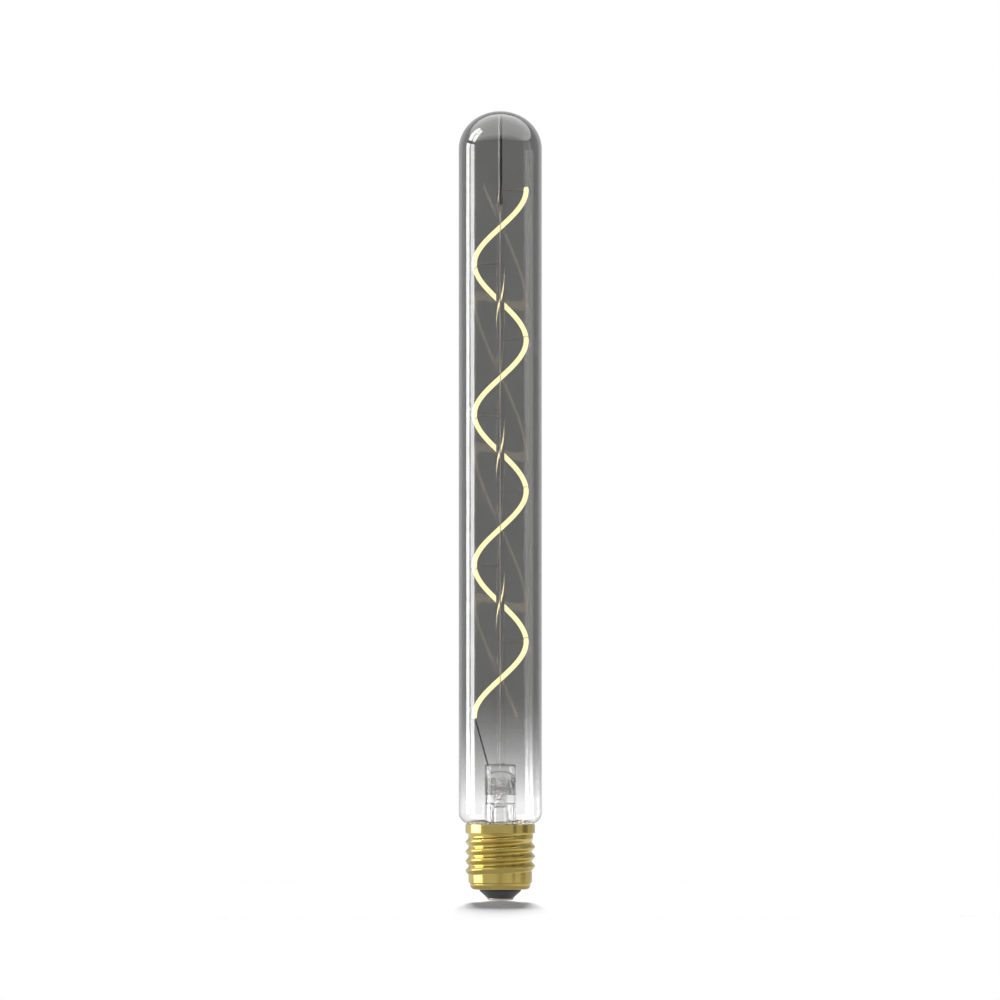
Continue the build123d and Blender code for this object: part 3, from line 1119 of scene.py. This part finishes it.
@dataclass
class ScrewCap:
    """The brass shell with its rolled thread, the insulator and the centre contact."""

    sheet: float = 0.3
    collar_radius: float = 13.19
    collar_height: float = 3.2
    root_radius: float = 12.05
    thread_depth: float = 1.13
    pitch: float = 3.629
    thread_low: float = 10.25
    thread_high: float = 24.6
    run_out: float = 0.35
    collar_fillet: float = 2.2
    fillet_reach: float = 0.6
    start_angle: float = 60.0
    foot_radius: float = 11.55
    foot_step: float = 6.5
    foot_corner: float = 1.9
    mouth_radius: float = 7.6
    mouth_lip: float = 0.4
    edge_row: float = 0.06
    collar_foot_round: float = 0.3
    rim_round: float = 0.15
    rows_per_mm: float = 8.0
    segments: int = 180
    shell_sharp: float = 45.0
    insulator_radius: float = 7.9
    insulator_foot_round: float = 0.2
    insulator_lip_round: float = 0.35
    insulator_lip_height: float = 0.34
    insulator_gap: float = 0.02
    insulator_sharp: float = 50.0
    contact_sag: float = 0.65
    contact_inset: float = 0.1
    contact_round: float = 0.15
    foot_segments: int = 120
    span: NodeSpan = field(default_factory=lambda: NodeSpan.of("screw_shell"))
    RIM_STEPS: ClassVar[int] = 4

    def ridge(self, angle: float, height: float) -> float:
        """Rise of the rolled thread at a place on the wall.

        Args:
            angle: direction round the axis in radians.
            height: height along the axis.

        Returns:
            The rise above the wall.
        """
        turns = (self.thread_high - self.thread_low) / self.pitch
        lead = (angle - math.radians(self.start_angle)) / (2 * math.pi)
        rise = 0.0
        for whole in range(-2, math.ceil(turns) + 2):
            turn = lead + whole
            if not 0.0 <= turn <= turns:
                continue
            away = abs(height - self.thread_low - self.pitch * turn) / (self.pitch / 2)
            if away >= 1.0:
                continue
            fade = min(1.0, turn / self.run_out, (turns - turn) / self.run_out)
            full = fade * fade * (3 - 2 * fade)
            rise = max(rise, self.thread_depth * full * (0.5 + 0.5 * math.cos(math.pi * away)))
        return rise

    def threaded(self, radius: float, height: float, angle: float) -> float:
        """Reach of the wall with its thread, which never stands out past the full crest."""
        crest = self.root_radius + self.thread_depth
        return max(radius, min(radius + self.ridge(angle, height), crest))

    def fillet(self, height: float) -> float:
        """Growth of the wall where it turns out into the collar."""
        share = 1.0 - (self.span.high.z - self.collar_height - height) / self.collar_fillet
        return self.fillet_reach * max(share, 0.0) ** 2

    def wall(self) -> list[Point]:
        """Half section of the shell's outside without its thread, from the mouth at the bottom to the rim.

        Returns:
            Radius and height of its points.
        """
        bottom, rim = self.span.low.z, self.span.high.z
        collar_foot = rim - self.collar_height
        corner, lip, row_gap = self.foot_corner, self.rim_round, self.edge_row
        step = self.root_radius - self.foot_radius
        shoulder = self.collar_radius - self.root_radius - self.fillet_reach
        rows = int((collar_foot - self.foot_step) * self.rows_per_mm)
        plain_foot, plain_top = self.foot_step + step, collar_foot - self.collar_foot_round
        plain = [plain_foot + (plain_top - plain_foot) * row / rows for row in range(rows + 1)]
        return [
            (self.mouth_radius, bottom),
            (self.mouth_radius + self.mouth_lip, bottom),
            *arc((self.foot_radius - corner, bottom + corner), corner, corner, 270, 360, 12),
            (self.foot_radius, bottom + corner + row_gap),
            (self.foot_radius, self.foot_step - row_gap),
            *arc((self.root_radius, self.foot_step), step, step, 180, 90, 5)[:-1],
            *[(self.root_radius + self.fillet(height), height) for height in plain],
            *arc((self.collar_radius - shoulder, collar_foot), shoulder, self.collar_foot_round, -90, 0, 8),
            (self.collar_radius, collar_foot + row_gap),
            (self.collar_radius, rim - lip - row_gap),
            *arc((self.collar_radius - lip, rim - lip), lip, lip, 0, 90, self.RIM_STEPS),
        ]

    def build_shell(self) -> bpy.types.Object:
        """Makes and dresses the shell: its outside with the thread, and its inside one sheet further in.

        Returns:
            The shell.
        """
        outside = self.wall()
        inside = [
            (max(radius - self.sheet, self.mouth_radius), max(height, self.span.low.z + self.sheet))
            for radius, height in reversed(outside[1:-self.RIM_STEPS])
        ]
        shell = revolved("cap_shell", [outside + inside], self.segments, self.shell_sharp, self.threaded)
        return dress(shell, Slot.CAP_BRASS, "screw_shell")

    def build_insulator(self) -> bpy.types.Object:
        """Makes and dresses the black cone and its plug.

        Returns:
            The insulator.
        """
        span = NodeSpan.of("insulator")
        contact = NodeSpan.of("centre_contact").radius
        bottom, rim = span.low.z, self.span.low.z
        foot, lip = self.insulator_foot_round, self.insulator_lip_round
        plug = self.mouth_radius - self.insulator_gap
        outline = [
            (0.0, bottom),
            *arc((contact - foot, bottom + foot), foot, foot, 270, 330, 3),
            *arc((self.insulator_radius - lip, rim - lip), lip, self.insulator_lip_height, -40, 90, 6),
            (plug, rim),
            (plug, span.high.z),
            (0.0, span.high.z),
        ]
        cone = revolved("insulator_cone", [outline], self.foot_segments, self.insulator_sharp)
        return dress(cone, Slot.BLACK_INSULATOR, "insulator")

    def build_contact(self) -> bpy.types.Object:
        """Makes and dresses the contact with its rounded edge.

        Returns:
            The contact.
        """
        span, edge = NodeSpan.of("centre_contact"), self.contact_round
        outline = [
            (0.0, span.low.z),
            *arc((0.0, self.contact_sag), span.radius - self.contact_inset, self.contact_sag, -86, -8, 14),
            *arc((span.radius - edge, span.high.z - edge), edge, edge, 0, 90, 4),
            (0.0, span.high.z),
        ]
        disc = revolved("contact_disc", [outline], self.foot_segments)
        return dress(disc, Slot.CONTACT_METAL, "centre_contact")

    def build(self) -> list[bpy.types.Object]:
        """Makes every piece of the cap and returns those that stand outside."""
        redress("capping_cement", Slot.CAP_CEMENT)
        return [self.build_shell(), self.build_insulator(), self.build_contact()]


@dataclass
class Driver:
    """The small board in the cap, with the parts that the frame already holds in their true form."""

    finishes: dict[str, Slot] = field(
        default_factory=lambda: {
            "driver_board": Slot.BOARD_LAMINATE,
            "bridge_rectifier": Slot.CHIP_PLASTIC,
            "driver_chip": Slot.CHIP_PLASTIC,
            "smoothing_capacitor": Slot.PART_CERAMIC,
            "sense_resistor": Slot.PART_CERAMIC,
            "fusible_resistor": Slot.PART_CERAMIC,
            "shell_wire": Slot.LEAD_WIRE,
            "contact_wire": Slot.LEAD_WIRE,
        }
    )

    def build(self) -> None:
        """Dresses the driver's nodes."""
        for node, slot in self.finishes.items():
            redress(node, slot)


@dataclass(frozen=True)
class Panel:
    """A softbox panel, seen from the lamp. Azimuth 0 is the camera's side and 90 the right."""

    name: str
    azimuth: float
    width: float
    low: float
    high: float
    radiance: float
    distance: float = 1500.0

    def build(self) -> bpy.types.Object:
        """Hangs the panel upright, facing the lamp's axis.

        Returns:
            The light.
        """
        width = 2 * self.distance * math.tan(math.radians(self.width / 2))
        lamp = new_softbox(self.name, width, self.high - self.low, self.radiance)
        turn = math.radians(self.azimuth)
        away = Vector((math.sin(turn), -math.cos(turn), 0.0))
        lamp.location = (away * self.distance + UP * (self.low + self.high) / 2) * MM
        lamp.rotation_euler = (math.pi / 2, 0.0, turn)
        return lamp


def new_softbox(
    name: str, width: float, depth: float, radiance: float, shape: LampShape = LampShape.PANEL
) -> bpy.types.Object:
    """Makes an area light that the camera doesn't see.

    Args:
        name: the light's name.
        width: size along its X, in millimetres.
        depth: size along its Y, in millimetres.
        radiance: brightness of its face.
        shape: its outline.

    Returns:
        The light, linked to the scene and facing down.
    """
    light = bpy.data.lights.new(name, "AREA")
    light.shape = shape.value
    light.size, light.size_y = width * MM, depth * MM
    area = light.size * light.size_y * (math.pi / 4 if shape is LampShape.OVAL else 1.0)
    light.energy = radiance * math.pi * area
    lamp = bpy.data.objects.new(name, light)
    bpy.context.scene.collection.objects.link(lamp)
    lamp.visible_camera = False
    return lamp


def grey(level: float) -> Colour:
    """Colour of an even grey."""
    return (level, level, level)


def gathered(name: str, pieces: Sequence[bpy.types.Object]) -> bpy.types.Collection:
    """Collects the pieces that a light falls on.

    Args:
        name: the collection's name.
        pieces: the pieces.

    Returns:
        The collection.
    """
    receivers = bpy.data.collections.new(name)
    for piece in pieces:
        receivers.objects.link(piece)
    return receivers


def show_in_gloss(lamp: bpy.types.Object, receivers: bpy.types.Collection) -> None:
    """Links a light so that only the given pieces show it, and only in their gloss."""
    lamp.visible_diffuse = False
    lamp.light_linking.receiver_collection = receivers


def hide_behind_glass(lamp: bpy.types.Object) -> None:
    """Puts a light out for rays that only pass through glass, so that it isn't seen behind the tube.

    Args:
        lamp: the light, which smooth glass still mirrors.
    """
    lamp.data.use_nodes = True
    sheet = NodeSheet(lamp.data.node_tree)
    path = sheet.add("ShaderNodeLightPath")
    glow = sheet.add("ShaderNodeEmission")
    sheet.feed(glow.inputs["Strength"], sheet.sum("GREATER_THAN", path.outputs["Glossy Depth"], NO_BOUNCE))
    output = sheet.add("ShaderNodeOutputLight")
    sheet.feed(output.inputs["Surface"], glow.outputs["Emission"])


def light_evenly(lamp: bpy.types.Object) -> None:
    """Keeps a light out of every reflection, so that it only lights matt surfaces."""
    lamp.visible_glossy = False
    lamp.visible_transmission = False


@dataclass
class Room:
    """The soft light all round: white to look at and through, a grey room in gloss."""

    ambient: float = 0.07
    glass_grey: float = 0.36
    left_grey: float = 0.75
    rear_grey: float = 0.68
    dome_dark: float = 0.18
    cap_grey: float = 0.64
    card_grey: float = 0.27
    ceiling_grey: float = 0.42
    ceiling_bright: float = 1.2
    inner_dark: float = 0.06
    left_wall: Point = (-0.35, -0.7)
    left_depth: Point = (0.2, 0.45)
    rear_wall: Point = (0.5, 0.9)
    dome_wall: Point = (0.42, 0.6)
    ceiling_side: Point = (-0.15, -0.5)
    ceiling_edge: Point = (0.3, 0.55)
    inner_edge: Point = (0.25, 0.5)
    cards: tuple[Point, ...] = ((44.0, 56.0), (80.0, 104.0))
    card_edge: float = 0.03

    def round_glass(self, sheet: NodeSheet, left: Socket, place: Place) -> Socket:
        """The room that smooth glass mirrors: light left and rear walls under a dark ceiling.

        Args:
            sheet: the world's sheet.
            left: share of the left wall.
            place: the direction's coordinates.

        Returns:
            The room's colour.
        """
        _, along, up = place
        room = sheet.blend(left, grey(self.glass_grey), grey(self.left_grey))
        room = sheet.blend(sheet.ramp(along, *self.rear_wall), room, grey(self.rear_grey))
        path = sheet.add("ShaderNodeLightPath")
        inside = sheet.sum("GREATER_THAN", path.outputs["Transmission Depth"], NO_BOUNCE)
        above = sheet.blend(inside, grey(self.dome_dark), grey(self.inner_dark))
        return sheet.blend(sheet.ramp(up, *self.dome_wall), room, above)

    def round_cap(self, sheet: NodeSheet, left: Socket, place: Place) -> Socket:
        """The room that the cap's metal mirrors: a white left wall, dark cards and a ceiling.

        Args:
            sheet: the world's sheet.
            left: share of the left wall.
            place: the direction's coordinates.

        Returns:
            The room's colour.
        """
        across, along, up = place
        azimuth = sheet.sum("ARCTAN2", across, sheet.sum("MULTIPLY", along, -1.0))
        cards = [
            sheet.band(azimuth, math.radians(low), math.radians(high), self.card_edge)
            for low, high in self.cards
        ]
        room = sheet.blend(sheet.sum("MAXIMUM", *cards), grey(self.cap_grey), grey(self.card_grey))
        room = sheet.blend(left, room, WHITE)
        bright = sheet.ramp(across, *self.ceiling_side)
        ceiling = sheet.blend(bright, grey(self.ceiling_grey), grey(self.ceiling_bright))
        return sheet.blend(sheet.ramp(up, *self.ceiling_edge), room, ceiling)

    def build(self) -> None:
        """Sets up the world."""
        world = bpy.data.worlds.new("room")
        bpy.context.scene.world = world
        world.use_nodes = True
        sheet = NodeSheet(world.node_tree)
        path = sheet.add("ShaderNodeLightPath")
        across, along, up = sheet.coordinates("Generated")
        left = sheet.sum("MULTIPLY", sheet.ramp(across, *self.left_wall), sheet.ramp(along, *self.left_depth))
        room = sheet.blend(
            path.outputs["Is Singular Ray"],
            self.round_cap(sheet, left, (across, along, up)),
            self.round_glass(sheet, left, (across, along, up)),
        )
        mirrored = sheet.sum("MAXIMUM", path.outputs["Is Glossy Ray"], path.outputs["Is Transmission Ray"])
        colour = sheet.blend(mirrored, grey(self.ambient), room)
        unmirrored = sheet.sum("LESS_THAN", path.outputs["Glossy Depth"], NO_BOUNCE)
        through = sheet.sum("MULTIPLY", path.outputs["Is Transmission Ray"], unmirrored)
        behind = sheet.blend(sheet.ramp(up, *self.inner_edge), WHITE, grey(self.inner_dark))
        colour = sheet.blend(through, colour, behind)
        background = sheet.add("ShaderNodeBackground")
        sheet.feed(background.inputs["Color"], sheet.blend(path.outputs["Is Camera Ray"], colour, WHITE))
        output = sheet.add("ShaderNodeOutputWorld")
        sheet.feed(output.inputs["Surface"], background.outputs["Background"])


@dataclass
class Floor:
    """The white floor, which shows the lamp's shadow to the camera, and shows gloss a white glow with a
    painted shadow in a strip under the lamp.
    """

    radius: float = 330.0
    drop: float = 0.05
    segments: int = 96
    light: Colour = (0.86, 0.86, 0.86)
    dark: Colour = (0.85, 0.85, 0.85)
    roughness: float = 0.9
    scale: float = 30.0
    speckle: float = 600.0
    # dim is the grey of the painted shadow that gloss sees in the floor within the nearer limit across X; it
    # fades to white by the farther limit.
    dim: float = 0.55
    painted_shadow_limits: Point = (16.0, 40.0)

    def build(self) -> bpy.types.Object:
        """Lays the floor.

        Returns:
            The floor.
        """
        outline = [(self.radius, -self.drop), (0.0, -self.drop)]
        floor = revolved("floor", [outline], self.segments)
        material, sheet, surface, output = new_material("floor_white")
        blotch = place_group(sheet, BLOTCHES, Scale=self.scale, Speckle=self.speckle)
        paint = sheet.blend(blotch.outputs["Mask"], self.light, self.dark)
        sheet.feed(surface.inputs["Base Color"], paint)
        sheet.feed(surface.inputs["Roughness"], self.roughness)
        path = sheet.add("ShaderNodeLightPath")
        # Glossy rays see an emission rather than the lit floor: white, with a painted shadow in a
        # front-to-back strip under the lamp.
        across, *_ = sheet.coordinates()
        near, far = self.painted_shadow_limits
        side = sheet.ramp(sheet.sum("ABSOLUTE", across), near * MM, far * MM)
        floor_glow_with_painted_shadow = sheet.add("ShaderNodeEmission")
        sheet.feed(floor_glow_with_painted_shadow.inputs["Color"], sheet.blend(side, grey(self.dim), WHITE))
        matt, painted_shadow_in_metal = surface.outputs["BSDF"], floor_glow_with_painted_shadow.outputs["Emission"]
        open_way = sheet.add("ShaderNodeBsdfTransparent").outputs["BSDF"]
        shader = sheet.switch(path.outputs["Is Glossy Ray"], matt, painted_shadow_in_metal)
        shader = sheet.switch(path.outputs["Is Singular Ray"], shader, open_way)
        sheet.feed(output.inputs["Surface"], shader)
        floor.data.materials.append(material)
        return floor


@dataclass
class Studio:
    """The room and the floor, with the softboxes and the camera."""

    elevation: float = 1.2
    frame_width: float = 379.8
    centre_height: float = 152.3
    centre_offset: float = -0.11
    camera_distance: float = 1000.0
    bounces: int = 32
    clear_bounces: int = 24
    ceiling_height: float = 1500.0
    ceiling_width: float = 6360.0
    ceiling_rear: float = 1510.0
    ceiling_fronts: tuple[float, ...] = (1750.0, 1350.0, 1000.0)
    ceiling_radiance: float = 0.92
    # Each panel's azimuth and width in degrees, low and high edge in millimetres, brightness and distance.
    glass_panels: tuple[Panel, ...] = (
        Panel("left_front_panel", -84.3, 13.5, -190.0, 610.0, 10.2),
        Panel("left_back_panel", -102.4, 14.4, -190.0, 610.0, 10.6),
        Panel("left_front_upper_panel", -84.3, 13.5, 790.0, 2100.0, 10.2),
        Panel("left_back_upper_panel", -102.4, 14.4, 790.0, 2100.0, 10.6),
        Panel("right_front_panel", 82.2, 12.7, -190.0, 279.0, 0.9),
        Panel("right_back_panel", 99.3, 12.6, -190.0, 275.0, 0.9),
    )
    cap_panels: tuple[Panel, ...] = (Panel("cap_left_panel", -90.5, 43.0, -300.0, 900.0, 5.0),)
    wire_panels: tuple[Panel, ...] = (Panel("anchor_left_panel", -75.0, 84.0, -200.0, 1500.0, 6.0),)
    shadow_panel: Panel = Panel("floor_back_panel", 180.0, 5.0, 1150.0, 3050.0, 1520.0, 12000.0)
    fill_panel: Panel = Panel("front_fill_panel", 0.0, 30.0, 2551.0, 6928.0, 8.6, 12000.0)

    def build_camera(self) -> None:
        """Sets the camera level with the lamp, a little raised."""
        data = bpy.data.cameras.new("camera")
        data.type = "ORTHO"
        data.ortho_scale = self.frame_width * MM
        camera = bpy.data.objects.new("camera", data)
        bpy.context.scene.collection.objects.link(camera)
        lift = math.radians(self.elevation)
        back = Vector((0.0, -math.cos(lift), math.sin(lift)))
        target = Vector((self.centre_offset, 0.0, self.centre_height))
        camera.location = (target + back * self.camera_distance) * MM
        camera.rotation_euler = (math.pi / 2 - lift, 0.0, 0.0)
        bpy.context.scene.camera = camera

    def build_ceiling(self) -> list[bpy.types.Object]:
        """Hangs the overhead softbox, in layers that end one behind the other.

        Returns:
            The softbox's layers.
        """
        layers = []
        for number, front in enumerate(self.ceiling_fronts, 1):
            depth = self.ceiling_rear + front
            name = f"overhead_softbox_{number}"
            layer = new_softbox(name, self.ceiling_width, depth, self.ceiling_radiance, LampShape.OVAL)
            layer.location = Vector((0.0, (self.ceiling_rear - front) / 2, self.ceiling_height + number)) * MM
            layers.append(layer)
        return layers

    def build_lights(
        self, floor: bpy.types.Object, shown_in: dict[Gloss, Sequence[bpy.types.Object]]
    ) -> None:
        """Hangs the overhead softbox and the panels.

        Args:
            floor: the floor, which the shadow falls on.
            shown_in: the pieces that show each group of lights in their gloss.
        """
        overhead = self.build_ceiling()
        groups = {
            Gloss.GLASSWARE: [*overhead, *[panel.build() for panel in self.glass_panels]],
            Gloss.CAP: [panel.build() for panel in self.cap_panels],
            Gloss.WIRES: [panel.build() for panel in self.wire_panels],
        }
        for gloss, lamps in groups.items():
            receivers = gathered(gloss.value, shown_in[gloss])
            for lamp in lamps:
                show_in_gloss(lamp, receivers)
                lamp.data.cycles.use_multiple_importance_sampling = gloss is not Gloss.WIRES
                if gloss is Gloss.GLASSWARE:
                    hide_behind_glass(lamp)
        shadow_lamp = self.shadow_panel.build()
        shadow_lamp.light_linking.receiver_collection = gathered("floor", [floor])
        for lamp in (shadow_lamp, self.fill_panel.build()):
            light_evenly(lamp)

    def build(self, shown_in: dict[Gloss, Sequence[bpy.types.Object]]) -> None:
        """Sets up the studio round the lamp.

        Args:
            shown_in: the pieces that show each group of lights in their gloss.
        """
        scene = bpy.context.scene
        scene.view_settings.view_transform = "Standard"
        scene.cycles.max_bounces = self.bounces
        scene.cycles.transmission_bounces = self.bounces
        scene.cycles.transparent_max_bounces = self.clear_bounces
        Room().build()
        self.build_lights(Floor().build(), shown_in)
        self.build_camera()
        LOG.info("studio with %d panels round the glass", len(self.glass_panels))


def main() -> None:
    """Builds the lamp's sub-assemblies in order, then the studio."""
    logging.basicConfig(level=logging.INFO, format="%(name)s: %(message)s")
    envelope = GlassEnvelope().build()
    stem = GlassStem().build()
    anchor, *_, column_lead = FilamentMount().build()
    cap = ScrewCap().build()
    Driver().build()
    Studio().build(
        {Gloss.GLASSWARE: [envelope, stem], Gloss.CAP: cap, Gloss.WIRES: [anchor, column_lead]}
    )


if __name__ == "__main__":
    main()
